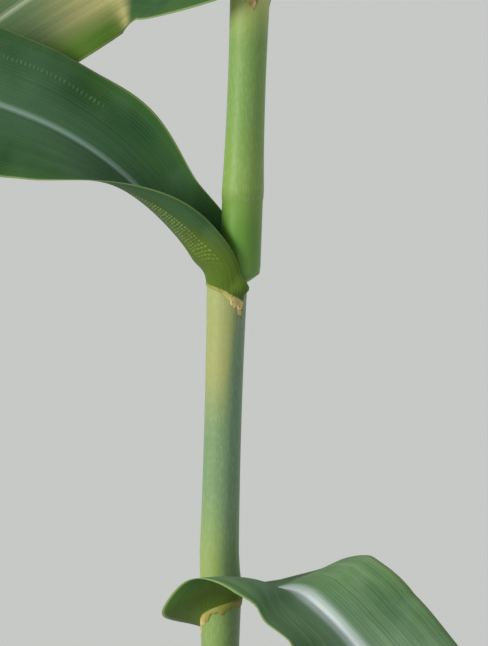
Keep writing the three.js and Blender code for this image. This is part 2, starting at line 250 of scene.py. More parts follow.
def start_material(name, shine, sheen=0.0, sheen_roughness=0.5, sheen_tint=(1, 1, 1, 1)):
    global tree
    material = bpy.data.materials.new(name)
    material.use_nodes = True
    tree = material.node_tree
    shader = tree.nodes["Principled BSDF"]
    shader.inputs["Specular IOR Level"].default_value = shine
    shader.inputs["Sheen Weight"].default_value = sheen
    shader.inputs["Sheen Roughness"].default_value = sheen_roughness
    shader.inputs["Sheen Tint"].default_value = sheen_tint
    return material, shader


def plug(value, socket):
    if isinstance(value, bpy.types.NodeSocket):
        tree.links.new(value, socket)
    else:
        socket.default_value = value


def finish_material(shader, colour, roughness, height, depth):
    """What every finish ends with: its colour, how dull it is, and its relief."""
    plug(colour, shader.inputs["Base Color"])
    plug(roughness, shader.inputs["Roughness"])
    bump = tree.nodes.new("ShaderNodeBump")
    bump.inputs["Distance"].default_value = depth
    plug(height, bump.inputs["Height"])
    tree.links.new(bump.outputs[0], shader.inputs["Normal"])


print("ready: start_material, plug, finish_material")

# %% [markdown]
# A pattern is a number at every point, so most of a finish is arithmetic. `ease` turns a number into
# a soft step from 0 to 1 and `fade` into one from 1 to 0. `lay` puts a second colour over the first
# where such a step says so. Most layers stay well below full strength, because on a leaf each one
# shows through the next.

# %% Arithmetic and mixing
def calc(how, a, b=0.0, c=0.0):
    """One step of arithmetic."""
    n = tree.nodes.new("ShaderNodeMath")
    n.operation = how
    for value, socket in zip((a, b, c), n.inputs):
        plug(value, socket)
    return n.outputs[0]


def times(a, b):
    return calc("MULTIPLY", a, b)


def minus(a, b):
    return calc("SUBTRACT", a, b)


def ramp(value, slope, start):
    """The value times a slope, plus a start."""
    return calc("MULTIPLY_ADD", value, slope, start)


def size_of(value):
    return calc("ABSOLUTE", value)


def ease(value, low, high):
    """0 below low, 1 above high, and smooth between them."""
    n = tree.nodes.new("ShaderNodeMapRange")
    n.interpolation_type = "SMOOTHSTEP"
    plug(value, n.inputs["Value"])
    plug(low, n.inputs["From Min"])
    plug(high, n.inputs["From Max"])
    return n.outputs[0]


def fade(value, low, high):
    """The other way round: 1 below low, 0 above high."""
    return minus(1.0, ease(value, low, high))


def mix(share, a, b):
    """Colour a turning into colour b."""
    n = tree.nodes.new("ShaderNodeMix")
    n.data_type = "RGBA"
    plug(share, n.inputs["Factor"])
    plug(a, n.inputs["A"])
    plug(b, n.inputs["B"])
    return n.outputs["Result"]


def lay(colour, over, where, most):
    """Lays another colour over this one where a pattern says so, and at most this strongly."""
    return mix(times(where, most), colour, over)


print("ready: calc, times, minus, ramp, size_of, ease, fade, mix, lay")

# %% [markdown]
# A pattern also needs something to read. `place` is the point in space, good for clouds that differ
# from leaf to leaf. `own_map` is a map that we lay on each piece ourselves, good for what runs along
# it. `speckle` makes a cloudy noise of either.

# %% Patterns and what they read
def speckle(vector, scale, detail=2.0, stretch=(1, 1, 1)):
    """A cloudy pattern around 0.5, stretched along its axes."""
    move = tree.nodes.new("ShaderNodeMapping")
    plug(vector, move.inputs["Vector"])
    move.inputs["Scale"].default_value = stretch
    n = tree.nodes.new("ShaderNodeTexNoise")
    plug(move.outputs[0], n.inputs["Vector"])
    n.inputs["Scale"].default_value = scale
    n.inputs["Detail"].default_value = detail
    return n.outputs["Fac"]


def own_map(name):
    """The two numbers that a map keeps on the piece, and the pair as a vector."""
    n = tree.nodes.new("ShaderNodeUVMap")
    n.uv_map = name
    split = tree.nodes.new("ShaderNodeSeparateXYZ")
    tree.links.new(n.outputs[0], split.inputs[0])
    return split.outputs["X"], split.outputs["Y"], n.outputs[0]


def place():
    return tree.nodes.new("ShaderNodeTexCoord").outputs["Object"]


print("ready: speckle, own_map, place")

# %% [markdown]
# ## The sheath's finish
# A fresh sheath is smooth and satin, with ribs so fine that they hardly show. The flap of it that
# lies on top at the seam is thin and pale, yellowish towards the collar, and away from the flap it is
# bluish with wax. So the piece keeps four numbers for its finish: the turn round the stalk and the
# height in one map, and in the other the share of the way up its sheath and the turn from the seam.

# %% Mix a sheath's finish
RIBS = 62
SKIN = "turn and height"
SHARE = "share"
WAX_SHEEN = (0.35, (0.8, 0.93, 0.9, 1))
FINE_RELIEF = 0.00004
ROOT_GREEN, DUST = paint(112, 146, 68), paint(176, 194, 160)


def sheath_material(name, flap_share, cream, hue):
    material, shader = start_material(name, 0.4, 0.08, *WAX_SHEEN)
    turn, _, both = own_map(SKIN)
    share, lap, _ = own_map(SHARE)
    where = place()
    # clouds of lighter green, long ones
    cloud = speckle(where, 24, 3, (1, 1, 0.22))
    colour = mix(ease(cloud, 0.34, 0.68), hue["green"], hue["bright"])
    # wax, most of it on the side away from the flap
    waxy = speckle(where, 55, 4, (1, 1, 0.3))
    front = minus(ease(lap, 0.0, 0.085), ease(lap, 0.26, 0.46))
    back = times(ramp(front, -0.55, 0.95), ramp(waxy, 0.7, 0.35))
    colour = mix(back, colour, hue["wax"])
    # the pale flap, reaching down from the collar
    down = ease(ramp(cloud, 0.3, share), 0.66, 0.92)
    colour = lay(colour, hue["flap"], times(front, down), flap_share)
    # towards the collar the sheath turns cream, on the fresh green sheaths paler still as painted
    # light against the shade of the blade above; and just above the node
    height = ramp(cloud, 0.2, share)
    collar_cream_and_painted_light = times(ease(height, 0.78, 1.12), ramp(front, 0.8 - cream, cream))
    colour = mix(collar_cream_and_painted_light, colour, hue["collar"])
    near_node = times(fade(height, 0.16, 0.5), ramp(front, 0.55, 0.3))
    colour = mix(near_node, colour, hue["base"])
    colour = lay(colour, ROOT_GREEN, fade(share, 0.0, 0.05), 0.7)
    # fine darker lines along the sheath, and powdery specks
    fine = speckle(both, 1.0, 3, (300, 9, 1))
    darker = mix(1.0, colour, (0.62, 0.7, 0.6, 1))
    darker.node.blend_type = "MULTIPLY"
    colour = lay(colour, darker, ease(fine, 0.35, 0.75), 0.3)
    dust = ease(speckle(where, 900, 3, (1, 1, 0.3)), 0.45, 0.7)
    colour = lay(colour, DUST, dust, 0.16)
    # the ribs are waves round the stalk
    wave = calc("SINE", times(turn, 2 * math.pi * RIBS))
    relief = ramp(ramp(wave, 0.5, 0.5), 0.5, fine)
    finish_material(shader, colour, ramp(fine, 0.18, 0.3), relief, FINE_RELIEF)
    return material


print("ribs round a sheath:", RIBS)

# %% [markdown]
# The sheaths of one plant differ. Some are fresh with a creamy collar, made paler still there as
# painted light against the shade of the blade above, some are dull with wax, some plain, and those
# at the top are young. One function with other colours does for all. The colours are written as
# they look on a screen, because that is how we compare them with a picture.

# %% Four sheath finishes
def hues(**seen):
    """Colours by name, each given as it is seen on a screen."""
    return {name: paint(*levels) for name, levels in seen.items()}


SHEATHS = {
    # its collar colour is partly painted light, paler than the sheath's own cream, to light the shade
    # of the blade above
    "green": sheath_material("sheath green", 0.85, 0.6, hues(
        green=(110, 148, 62), bright=(130, 162, 70), flap=(196, 200, 118), wax=(122, 154, 82),
        base=(144, 172, 68), collar=(230, 224, 138))),
    "waxy": sheath_material("sheath waxy", 1.0, 0.2, hues(
        green=(110, 142, 92), bright=(124, 152, 96), flap=(158, 162, 98), wax=(108, 138, 114),
        base=(152, 172, 86), collar=(158, 166, 102))),
    "plain": sheath_material("sheath plain", 0.7, 0.2, hues(
        green=(102, 138, 72), bright=(122, 154, 78), flap=(128, 156, 84), wax=(112, 142, 100),
        base=(146, 168, 84), collar=(124, 150, 76))),
    "young": sheath_material("sheath young", 0.8, 0.2, hues(
        green=(112, 152, 62), bright=(138, 172, 74), flap=(172, 190, 98), wax=(126, 160, 98),
        base=(154, 184, 78), collar=(160, 186, 88))),
}
print("sheath finishes:", list(SHEATHS))

# %% [markdown]
# The bare stalk between a collar and the next node is smooth and green. It pales just under the node,
# where a light bloom of wax gathers, and above the node the sheath's lighter green begins.

# %% Mix the bare stalk's material
def stalk_material():
    material, shader = start_material("stalk skin", 0.42, 0.05, *WAX_SHEEN)
    both, from_node = own_map(SKIN)[2], own_map(SHARE)[0]
    where = place()
    cloud = speckle(where, 30, 3, (1, 1, 0.25))
    colour = mix(ease(cloud, 0.34, 0.68), paint(84, 132, 42), paint(106, 148, 53))
    waxy = speckle(where, 80, 4, (1, 1, 0.5))
    colour = lay(colour, paint(125, 156, 100), ease(waxy, 0.45, 0.75), 0.22)
    colour = lay(colour, paint(116, 150, 65), ease(from_node, -0.022, -0.001), 0.85)
    fine = speckle(both, 1.0, 3, (260, 9, 1))
    finish_material(shader, colour, ramp(fine, 0.16, 0.28), fine, FINE_RELIEF)
    return material


stalk_skin = stalk_material()
print("stalk finish:", stalk_skin.name)

# %% [markdown]
# ## The stalk
# The stalk could be one cylinder, but a real one has rings at its nodes, a waist between them and a
# wider foot, and it isn't straight. By hand you would draw its lowest ring and extrude it upwards,
# ring by ring, moving, scaling and turning each new ring into place. That is what `raise_tube` does,
# for the stalk and later for everything that wraps it. With no window open, Blender's rotate turns
# the other way, hence the sign.

# %% Extrude a tube ring by ring
TURN_SIGN = -1


def push_step(tube, z, seam, side, step, span):
    """Pushes the ring's points out beyond the seam, less and less over the span."""
    cx, cy = axis(z)
    for v in tube.data.vertices:
        x, y = v.co.x / MM - cx, v.co.y / MM - cy
        away = side * (math.atan2(y, x) - seam) % (2 * math.pi)
        if away < span:
            grow = 1 + step * (1 - away / span)
            v.co.x, v.co.y = (cx + x * grow) * MM, (cy + y * grow) * MM


def extrude_to(before, after, of_culm, turned):
    """Extrudes the selected ring from one (height, radius) to the next."""
    (z0, r0), (z1, r1) = before, after
    (x0, y0), (x1, y1) = axis(z0, of_culm), axis(z1, of_culm)
    move, middle = ((x1 - x0) * MM, (y1 - y0) * MM, (z1 - z0) * MM), (x1 * MM, y1 * MM, z1 * MM)
    bpy.ops.mesh.extrude_region_move(TRANSFORM_OT_translate={"value": move})
    if r0 != r1:
        bpy.ops.transform.resize(value=(r1 / r0, r1 / r0, 1), center_override=middle)
    if abs(turned) > 1e-6:
        bpy.ops.transform.rotate(value=TURN_SIGN * turned, orient_axis="Z", center_override=middle)


def raise_tube(name, rings, sides, of_culm=False, seam=lambda z: 0.0, side=1, step=0.0, span=1.0):
    """Rings are (height, radius) in millimetres, on the stalk's own line, and turn with the seam."""
    deselect()
    z, radius = rings[0]
    x, y = axis(z, of_culm)
    bpy.ops.mesh.primitive_circle_add(vertices=sides, radius=radius * MM, rotation=(0, 0, seam(z)),
                                      location=(x * MM, y * MM, z * MM), fill_type="NOTHING")
    tube = bpy.context.object
    tube.name = tube.data.name = name
    bpy.ops.object.transform_apply()
    if step:
        push_step(tube, z, seam(z), side, step, span)
    bpy.ops.object.mode_set(mode="EDIT")
    bpy.ops.mesh.select_all(action="SELECT")
    for before, after in zip(rings, rings[1:]):
        extrude_to(before, after, of_culm, seam(after[0]) - seam(before[0]))
    return tube


print("ready: raise_tube, turning by the sign", TURN_SIGN)

# %% [markdown]
# Such a tube is still open. `close_tube` fills both ends or, where a wall goes up outside and down
# inside, bridges the last ring to the first. An extruded tube has no map either, so `map_skin`
# works one out from where its points stand.

# %% Close a tube and map it
def face_outwards(angle):
    """Turns all faces outwards and smooths them. Edges sharper than the angle stay sharp."""
    bpy.ops.mesh.select_all(action="SELECT")
    bpy.ops.mesh.normals_make_consistent(inside=False)
    bpy.ops.object.mode_set(mode="OBJECT")
    bpy.ops.object.shade_smooth_by_angle(angle=math.radians(angle))


def close_tube(tube, material, angle, bridged=False):
    if not bridged:
        bpy.ops.mesh.edge_face_add()
    bpy.ops.mesh.select_all(action="DESELECT")
    bpy.ops.mesh.select_non_manifold()
    if bridged:
        bpy.ops.mesh.bridge_edge_loops()
    else:
        bpy.ops.mesh.edge_face_add()
    face_outwards(angle)
    tube.data.materials.append(material)


def read(items, key, kind=int, size=1):
    """The numbers that all the items keep under this key."""
    values = np.zeros(len(items) * size, kind)
    items.foreach_get(key, values)
    return values


def map_skin(tube, share_of, lap_of):
    """Writes the two maps: the turn round the stalk and the height, and the share and the lap."""
    mesh = tube.data
    points = read(mesh.vertices, "co", float, 3).reshape(-1, 3) / MM
    p = points[read(mesh.loops, "vertex_index")]
    x, y = axis(p[:, 2])
    turn = np.arctan2(p[:, 1] - y, p[:, 0] - x) / (2 * math.pi)
    # no face may cross from the end of a turn to its beginning
    first = np.repeat(turn[read(mesh.polygons, "loop_start")], read(mesh.polygons, "loop_total"))
    turn = turn - np.round(turn - first)
    skin = mesh.uv_layers.new(name=SKIN)
    skin.data.foreach_set("uv", np.stack([turn, p[:, 2] * MM], 1).ravel())
    other = mesh.uv_layers.new(name=SHARE)
    other.data.foreach_set("uv", np.stack([share_of(p[:, 2]), lap_of(turn, p[:, 2])], 1).ravel())


print("ready: close_tube, map_skin")

# %% [markdown]
# The stalk's rings read from the ground up: the flared foot, cut flat, and then for each leaf a
# swollen node, a thin core that the sheath hides, and the bare length above the collar. Where the
# bare length is very short the next sheath covers it, so it needs no rings of its own.

# %% Raise the stalk
FOOT_FLARE = 3.0
SHORTEST_BARE = 6
RING_SPACING = 4.0


def stalk_rings():
    rings = [(0, stalk_radius(0) + FOOT_FLARE), (5, stalk_radius(5) + 2.4),
             (12, stalk_radius(12) + 1.2), (20, stalk_radius(20) * 1.03 + 0.3),
             (27, stalk_radius(27) * 1.04), (31, stalk_radius(31) * NODE_RATIO)]
    for i, leaf in enumerate(LEAVES):
        low, collar, top = NODES[i], COLLARS[i], COLLARS[i] + leaf["bare"]
        if i == 0 or LEAVES[i - 1]["bare"] >= SHORTEST_BARE:
            r = stalk_radius(low)
            rings += [(low - 0.8, r * NODE_RATIO), (low - 0.2, r * 1.04), (low + 1, r * CORE_RATIO)]
        r = stalk_radius(collar)
        rings += [(collar - 1.5, r * CORE_RATIO)]
        if leaf["bare"] >= SHORTEST_BARE:
            rings += [(collar, r * 0.95), (collar + 2, r * BARE_RATIO), (collar + 4, r * BARE_RATIO)]
            between = np.arange(collar + 6, top - 6, RING_SPACING)
            rings += [(z, stalk_radius(z) * BARE_RATIO) for z in between]
            r = stalk_radius(top)
            rings += [(top - 3.2, r * 1.082), (top - 1.8, r * NODE_RATIO)]
    rings += [(1668, stalk_radius(1668) * CORE_RATIO), (1676, stalk_radius(1676) * 0.5)]
    return [(float(z), float(r)) for z, r in rings]


stalk = raise_tube("stalk", stalk_rings(), 48, of_culm=True)
close_tube(stalk, stalk_skin, 40)
node_heights = np.array(NODES)
map_skin(stalk, lambda z: (z - node_heights[np.abs(z[:, None] - node_heights).argmin(1)]) * MM,
         lambda turn, z: 0 * z)
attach(stalk, "root")
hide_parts("culm")
print("stalk faces:", len(stalk.data.polygons))

# %% [markdown]
# ## The sheaths
# A sheath is a leaf's lower half, rolled round the stalk, with one margin lying over the other. A
# plain tube would lose that long line down the stalk. So the first ring gets a small step before it
# is extruded: at the upper margin it stands out by about an eighth of a millimetre, and it slopes
# back to the circle over a third of a turn. Each new ring is turned a little, because the seam
# wanders on its way down.

# %% Where the seam runs
STEP, STEP_SPAN = 0.012, math.radians(110)
DRIFT = math.radians(38)


def seam_side(i):
    """The upper margin lies left and right in turn."""
    return -1 if i % 2 == 1 else 1


def seam_at(i, z):
    """The upper margin's direction at a height. It wanders on its way down."""
    leaf, side = LEAVES[i], seam_side(i)
    share = np.clip((z - NODES[i]) / (COLLARS[i] - NODES[i]), 0, 1)
    wrap = leaf["wrap"][1] if side < 0 else -leaf["wrap"][0]
    return math.radians(leaf["az"] + wrap) + side * DRIFT * (1 - share) ** 0.4


print("the big leaf's seam, in degrees at the collar:", round(math.degrees(seam_at(5, COLLARS[5]))))

# %% [markdown]
# A sheath is a list of rings again. It swells at its node, where it grows out of the stalk, narrows
# and widens towards its collar. There the wall turns in and goes down inside to the node, so that the
# mouth has a real lip.

# %% Raise the sheaths
SHEATH_SIDES = 80
NODE_SWELL = (0.985, 0.992, 0.998, 1.006, 1.006)
LAP_MARGIN = 0.006  # a face may start this much before the seam
SHEATH_SKIN = 3 * ["plain", "waxy"] + ["green", "waxy", "green", "green"] + 3 * ["young"]


def sheath_rings(i):
    low, top = NODES[i], COLLARS[i]
    heights = [low - 1.6, low - 0.8, low + 1, low + 4, low + 9]
    heights += list(np.linspace(low + 15, top - 10, max(4, int((top - low) / 10))))
    heights += [top - 5, top - 2, top - 0.5]
    swell = list(NODE_SWELL) + [1.0] * (len(heights) - len(NODE_SWELL))
    rings = [(z, sheath_radius(max(z, low + 0.1)) * k) for z, k in zip(heights, swell)]
    inner = stalk_radius(top) * (CORE_RATIO + 0.06)
    rings += [(top, sheath_radius(top) - 0.35), (top - 0.3, sheath_radius(top) - 0.8),
              (top - 8, inner), (low + 4, stalk_radius(low) * (CORE_RATIO + 0.03)),
              (low - 1.0, stalk_radius(low))]
    return [(float(z), float(r)) for z, r in rings]


def add_sheath(i):
    low, top, side = NODES[i], COLLARS[i], seam_side(i)
    sheath = raise_tube(f"sheath_{i + 1}", sheath_rings(i), SHEATH_SIDES, False,
                        lambda z: seam_at(i, z), side, STEP, STEP_SPAN)
    close_tube(sheath, SHEATHS[SHEATH_SKIN[i]], 28, bridged=True)

    def lap(turn, z):
        """How far round from the seam, as a share of a turn."""
        return (side * (turn - seam_at(i, z) / (2 * math.pi)) + LAP_MARGIN) % 1 - LAP_MARGIN

    map_skin(sheath, lambda z: (z - low) / (top - low), lap)
    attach(sheath, "root")
    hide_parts(f"leaf_{i + 1}_sheath")
    return sheath


sheaths = [add_sheath(i) for i in range(len(LEAVES))]
print("sheaths:", len(sheaths), "faces each about", len(sheaths[5].data.polygons))

# %% [markdown]
# ## The blade's finish
# From above, a blade is deep blue-green with a pale midrib, soft streaks and fine veins, and a thin
# pale line at its margins, and down its middle a painted bluish sheen, the reflection of the sky.
# Where it was once pressed in the bud it keeps rows of tiny pale cross marks. From below it is olive
# near the collar and greener further out, with a painted bluish highlight in a smooth strip beside
# the margin. All of these follow the leaf and not the space around it, so the blade carries two maps:
# the distance from the midrib and along it, in metres, and the same as shares of its half width and
# length.

# %% Streaks, veins and cross marks
RULE = "across and along"
VEINS = 23


def streaks(across, along, detail=3):
    """Long soft streaks: so many across the half width, so many along the blade."""
    return speckle(own_map(SHARE)[2], 1.0, detail, (across, along, 1))


def vein_lines(side):
    """Thin lines along the leaf, each of its own strength."""
    wave = calc("SINE", times(side, 2 * math.pi * VEINS))
    return times(ease(wave, 0.5, 1.0), ease(streaks(VEINS * 0.9, 2.5), 0.36, 0.66))


def cross_marks(along, side, centres, spread, first, last, pitch):
    """Rows of short marks across the leaf, from one distance to another."""
    jitter = speckle(own_map(RULE)[2], 1.0, 2, (260, 420, 1))
    beat = calc("SINE", times(ramp(jitter, 0.0022, along), 2 * math.pi / pitch))
    rows = 0.0
    for centre in centres:
        gap = size_of(minus(side, centre))
        rows = calc("ADD", rows, fade(gap, spread * 0.6, spread))
    patch = ease(speckle(own_map(RULE)[2], 1.0, 2, (150, 60, 1)), 0.3, 0.5)
    reach = minus(ease(along, first, first + 0.01), ease(along, last, last + 0.03))
    return times(times(ease(beat, 0.2, 0.9), rows), times(patch, reach))


print("veins on a half blade:", VEINS)

# %% [markdown]
# Two parts of a blade have edges of their own. The midrib is a pale band that narrows to the tip, so
# its width is worked out from the share of the length. One blade has a pale straw-coloured patch of
# painted glare and light shining through it, between two distances from the collar.

# %% A faded patch and the midrib
MIDRIB_TIP = 0.0006


def painted_glare_patch(colour, along, edge, soft, pale, edge_green):
    """A patch of painted glare and shining-through light above the collar, but not at the margins."""
    start, end = ease(along, 0.07, 0.088), ramp(ease(along, 0.085, 0.155), -0.9, 1.0)
    streaked = ramp(ease(soft, 0.3, 0.65), 0.3, 0.65)
    colour = mix(times(times(start, end), streaked), colour, pale)
    margin = times(ease(along, 0.08, 0.108), ease(edge, 0.48, 0.86))
    return mix(margin, colour, edge_green)


def midrib_line(colour, across, share, width, midrib, bright):
    """The midrib narrows to the tip and has a bright line in it."""
    wide = ramp(minus(1.0, share), width, MIDRIB_TIP)
    away = calc("DIVIDE", size_of(across), wide)
    colour = lay(colour, midrib, fade(away, 0.1, 1.5), 0.8)
    return lay(colour, bright, fade(size_of(minus(away, 0.5)), 0.1, 0.4), 0.2)


print("a midrib's half width at the tip:", MIDRIB_TIP, "m")

# %% [markdown]
# One function mixes all the blade finishes from these patterns, in layers from the broad to the fine:
# clouds, wax and streaks, then veins and marks, then the midrib, the margin and the neck above the
# collar. The upper and the lower face differ in a few of the layers, so the function is told which
# face it mixes.

# %% Mix a blade's finish
FAR_BELOW, MARGIN = paint(58, 100, 44), paint(160, 182, 112)
BLADE_SHEEN = (0.5, (0.8, 0.93, 0.95, 1))
MARKS_ABOVE, MARKS_BELOW = (0.035, 0.1, 0.45, 0.0024), (0.024, 0.008, 0.06, 0.0017)


def blade_material(name, above, hue, rib_width=0.0017, rows=(), painted_glare=None, patchy=0.0):
    material, shader = start_material(name, 0.12, 0.05, *BLADE_SHEEN)
    across, along, _ = own_map(RULE)
    side, share, _ = own_map(SHARE)
    where, edge = place(), size_of(side)
    # broad clouds and long streaks; the bluish clouds are partly wax and partly a painted reflection
    # of the sky
    cloud, wax = speckle(where, 13, 3), speckle(where, 21, 4)
    soft, fine = streaks(15, 2.6), streaks(60, 4, 2)
    colour = mix(ease(cloud, 0.35, 0.68), hue["deep"], hue["fresh"])
    colour = lay(colour, hue["bluish"], ease(wax, 0.44, 0.68), 0.55)
    colour = lay(colour, hue["fresh"], ease(soft, 0.46, 0.72), 0.3)
    # painted sheen: the bluish reflection of the sky down the middle of the upper face, starting close
    # to the collar to lighten the shade there
    if above:
        middle = times(fade(edge, 0.15, 0.7), ease(along, 0.02, 0.11))
        colour = lay(colour, hue["bluish"], middle, 0.6)
    colour = lay(colour, hue["veins"], ease(fine, 0.5, 0.75), 0.16)
    if above:
        colour = lay(colour, hue["rim"], ease(edge, 0.7, 1.0), 0.32)
    else:
        colour = lay(colour, FAR_BELOW, ease(along, 0.08, 0.2), 0.65)
        # painted highlight: a smooth bluish strip beside the margin of the lower face
        painted_highlight_strip = times(ease(edge, 0.7, 0.84), ease(along, 0.01, 0.03))
        colour = lay(colour, hue["bluish"], painted_highlight_strip, 0.9)
    # veins and rows of cross marks
    strong = vein_lines(side)
    # painted glare and light shining through, with the strong veins fading out towards the collar
    if painted_glare:
        colour = painted_glare_patch(colour, along, edge, soft, *painted_glare)
        strong = times(strong, ease(along, 0.08, 0.14))
    # pale streaks away from the midrib, partly the leaf's own and partly painted light to brighten the
    # blade
    if patchy:
        pale = times(ease(streaks(7, 9, 3), 0.44, 0.7), ease(edge, 0.12, 0.3))
        colour = lay(colour, hue["veins"], pale, patchy)
    colour = lay(colour, hue["veins"], strong, 0.2)
    marks = cross_marks(along, side, rows, *(MARKS_ABOVE if above else MARKS_BELOW)) if rows else 0.0
    colour = lay(colour, hue["veins"], marks, 0.7)
    # midrib, margin line, and the neck above the collar
    colour = midrib_line(colour, across, share, rib_width, hue["midrib"], hue["fresh"])
    colour = lay(colour, MARGIN, ease(edge, 0.965, 0.99), 0.5)
    neck = fade(along, 0.004, 0.014 if above else 0.045)
    if not above:
        neck = times(neck, ramp(painted_highlight_strip, -0.75, 1.0))
    colour = lay(colour, hue["base"], neck, 0.6)
    relief = 0.0
    for pattern, height in ((strong, 0.1), (fine, 0.12), (soft, 0.6), (marks, 0.12)):
        relief = ramp(pattern, height, relief)
    finish_material(shader, colour, ramp(soft, 0.2, 0.58 if above else 0.56), relief, 0.0009)
    return material


print("cross marks stand", MARKS_ABOVE[-1], "m apart above and", MARKS_BELOW[-1], "m below")

# %% [markdown]
# Each finish is a set of named colours. The older leaves are deep green and share one olive
# underside, one of them has the patch of painted glare, others are fresher, and the top ones are
# young.

# %% Four blade finishes
OLIVE = blade_material("blade deep below", False, hues(
    deep=(64, 80, 26), fresh=(77, 93, 31), bluish=(60, 97, 62), veins=(150, 172, 100),
    midrib=(106, 130, 60), base=(86, 116, 32)), rows=(0.42, 0.48, 0.54, 0.6, 0.66))
FACES = {
    "deep": (blade_material("blade deep above", True, hues(
        deep=(34, 72, 40), fresh=(54, 92, 46), bluish=(82, 118, 88), veins=(98, 136, 88),
        midrib=(150, 176, 164), rim=(66, 104, 34), base=(60, 98, 46)), rows=(-0.64,)), OLIVE),
    "painted_glare": (blade_material("blade faded above", True, hues(
        deep=(40, 76, 44), fresh=(60, 96, 50), bluish=(66, 100, 72), veins=(116, 136, 88),
        midrib=(160, 172, 144), rim=(74, 108, 36), base=(60, 98, 40)),
        # the colours of the painted glare and of the green margin around it
        painted_glare=(paint(186, 176, 118), paint(76, 108, 34))), OLIVE),
    "fresh": (blade_material("blade fresh above", True, hues(
        deep=(78, 115, 76), fresh=(92, 128, 78), bluish=(122, 154, 122), veins=(150, 176, 128),
        midrib=(240, 250, 252), rim=(96, 128, 70), base=(66, 104, 56)), rib_width=0.0056, patchy=0.26),
        blade_material("blade fresh below", False, hues(
            deep=(54, 88, 26), fresh=(70, 106, 36), bluish=(60, 98, 40), veins=(110, 140, 64),
            midrib=(120, 146, 70), base=(96, 112, 36)))),
    "young": (blade_material("blade young above", True, hues(
        deep=(72, 122, 48), fresh=(104, 150, 62), bluish=(96, 140, 82), veins=(150, 182, 112),
        midrib=(180, 200, 136), rim=(130, 168, 66), base=(130, 164, 62))),
        blade_material("blade young below", False, hues(
            deep=(88, 128, 44), fresh=(116, 152, 58), bluish=(104, 142, 74), veins=(150, 176, 98),
            midrib=(154, 180, 96), base=(138, 166, 64)))),
}
print("blade finishes:", list(FACES))

# %% [markdown]
# ## The blades
# Here the rule does the modelling. A blade's midrib is a path through the air. Across it the blade
# is a strip that starts rolled round the stalk and unrolls as it leaves it. Near the collar each
# point slides from the roll to the free strip, turning about the stalk and never through it. Hand
# tools could draw one such strip, but not thirteen that all sit exactly on their solids, so this is
# mesh code: a grid of points for the upper face, and the same grid pushed along its normals for the
# lower one. First we need to know how far a blade has to stand off the stalk.

# %% How far the stalk reaches
BEND_AHEAD = 6.0


def girth(z, angle):
    """How far the stalk reaches from a blade's axis. A long bare culm bends at once."""
    r = stalk_radius(z) * NODE_RATIO
    (bx, by), (cx, cy) = axis(z + BEND_AHEAD, True), axis(z)
    ahead = (bx - cx) * np.cos(angle) + (by - cy) * np.sin(angle)
    aside = (bx - cx) * np.sin(angle) - (by - cy) * np.cos(angle)
    bent = ahead + np.sqrt(np.maximum(r * r - aside * aside, 0))
    return np.maximum(np.maximum(sheath_radius(z), r), bent)


print("the stalk reaches", round(float(girth(COLLARS[5], 0.0)), 1), "mm at the big leaf's collar")

# %% [markdown]
# A midrib is easy to describe by the way it heads at a few distances: how steeply it rises, which way
# it points, and how far the blade is rolled over. Adding up many small steps gives its path, as you
# would walk it.

# %% The midrib's path
PATH_STEPS = 300


def midrib_path(leaf, s, r0):
    """The midrib's points at distances s, and the directions across the blade and out of it there."""
    table = np.array(leaf["path"], float)

    def heading(at):
        rise = np.radians(np.interp(at, table[:, 0], table[:, 1]))
        turn = np.radians(np.interp(at, table[:, 0], table[:, 2]))
        level = np.cos(rise)
        return np.stack([level * np.cos(turn), level * np.sin(turn), np.sin(rise)], -1), turn

    # the path is added up from small steps
    length, collar, az = leaf["length"], leaf["collar"], math.radians(leaf["az"])
    ax, ay = axis(collar)
    small, _ = heading((np.arange(PATH_STEPS) + 0.5) / PATH_STEPS * length)
    start = [[ax + r0 * math.cos(az), ay + r0 * math.sin(az), collar]]
    line = np.cumsum(np.vstack([start, small * length / PATH_STEPS]), 0)
    known = np.linspace(0, length, PATH_STEPS + 1)
    path = np.stack([np.interp(s, known, line[:, k]) for k in range(3)], 1)
    ahead, turn = heading(s)
    roll = np.radians(np.interp(s, table[:, 0], table[:, 3]))[:, None]
    flat = np.stack([-np.sin(turn), np.cos(turn), 0 * turn], 1)
    up = np.cross(ahead, flat)
    return path, flat * np.cos(roll) + up * np.sin(roll), up * np.cos(roll) - flat * np.sin(roll)


ends, _, _ = midrib_path(LEAVES[5], np.array([0.0, LEAVES[5]["length"]]), sheath_radius(COLLARS[5]))
print("the big leaf's midrib runs from", ends[0].round(), "to", ends[1].round())

# %% [markdown]
# Across the midrib the strip is as wide as the leaf is there. It starts curled as tightly as the
# stalk and opens with the distance, while a slight fold along the midrib and ripples near the margins
# stay.

# %% The free strip
TIP_WIDTH = 2.5
NECK_SHARE = 0.2
RIPPLE, RIPPLE_LENGTH, RIPPLE_START = 3.0, 95.0, 90.0


def pair(leaf, key, u):
    """A pair's value for the half of the blade that each u is on."""
    return np.where(u < 0, leaf[key][0], leaf[key][1])[None, :]


